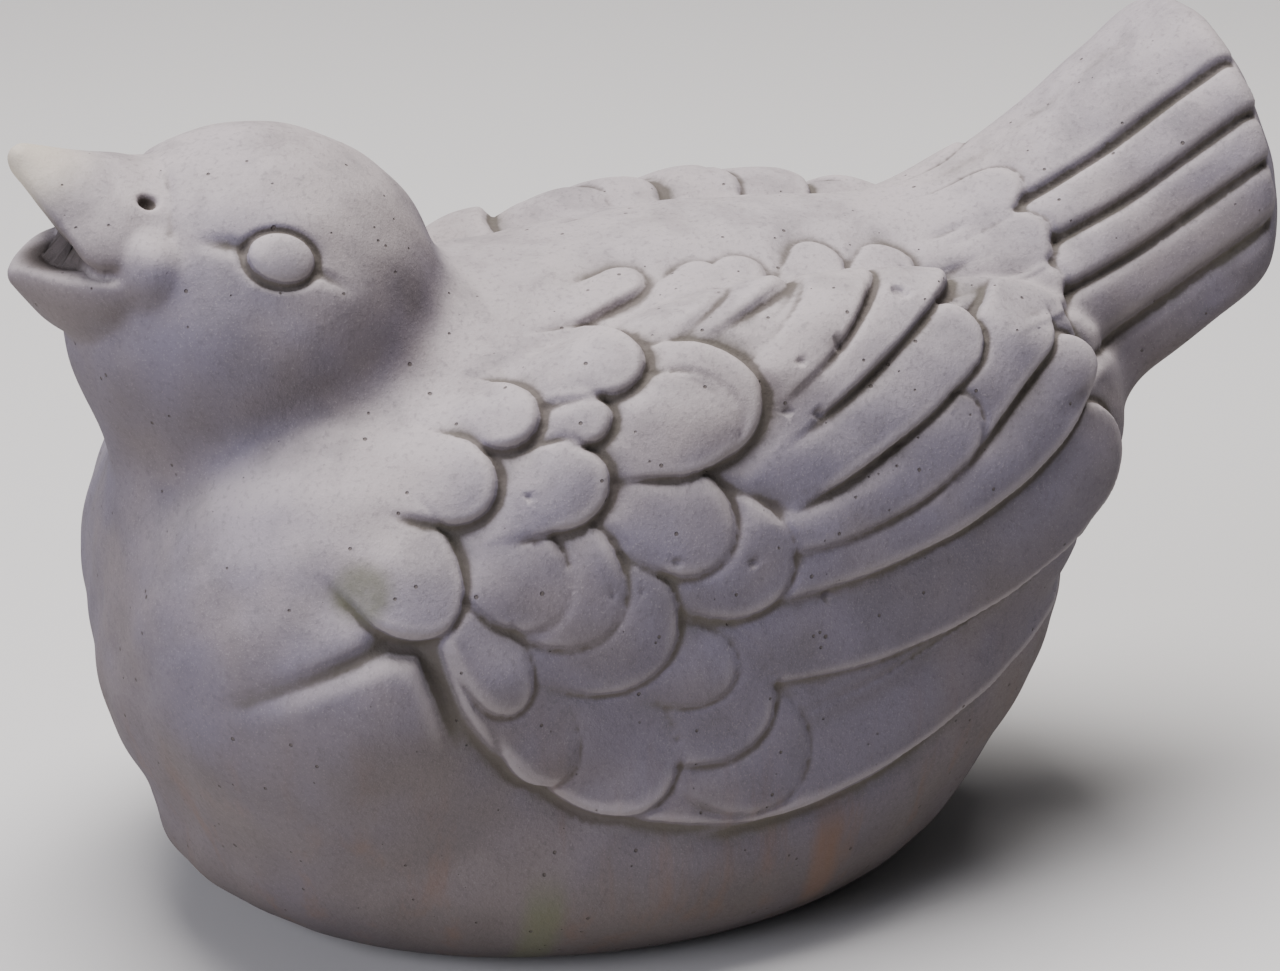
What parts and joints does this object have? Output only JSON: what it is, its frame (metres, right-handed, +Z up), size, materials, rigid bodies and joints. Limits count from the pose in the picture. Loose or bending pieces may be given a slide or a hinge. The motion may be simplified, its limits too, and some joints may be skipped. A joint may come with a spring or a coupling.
{
  "type": "garden bird statue",
  "caption": "Cast concrete garden statue of a small plump songbird at rest, with its beak open and its tail raised.",
  "frame": {"origin": "centre of the flat underside, on the ground", "axes": "+Z up, +Y from the beak towards the tail, +X to the bird's left side"},
  "size_m": [0.1368, 0.2546, 0.1679],
  "materials": {
    "concrete": "matte cast concrete, grey with a lilac tint, small air bubbles and light weathering"
  },
  "bodies": {
    "root": {"bird": "concrete"}
  },
  "joints": []
}
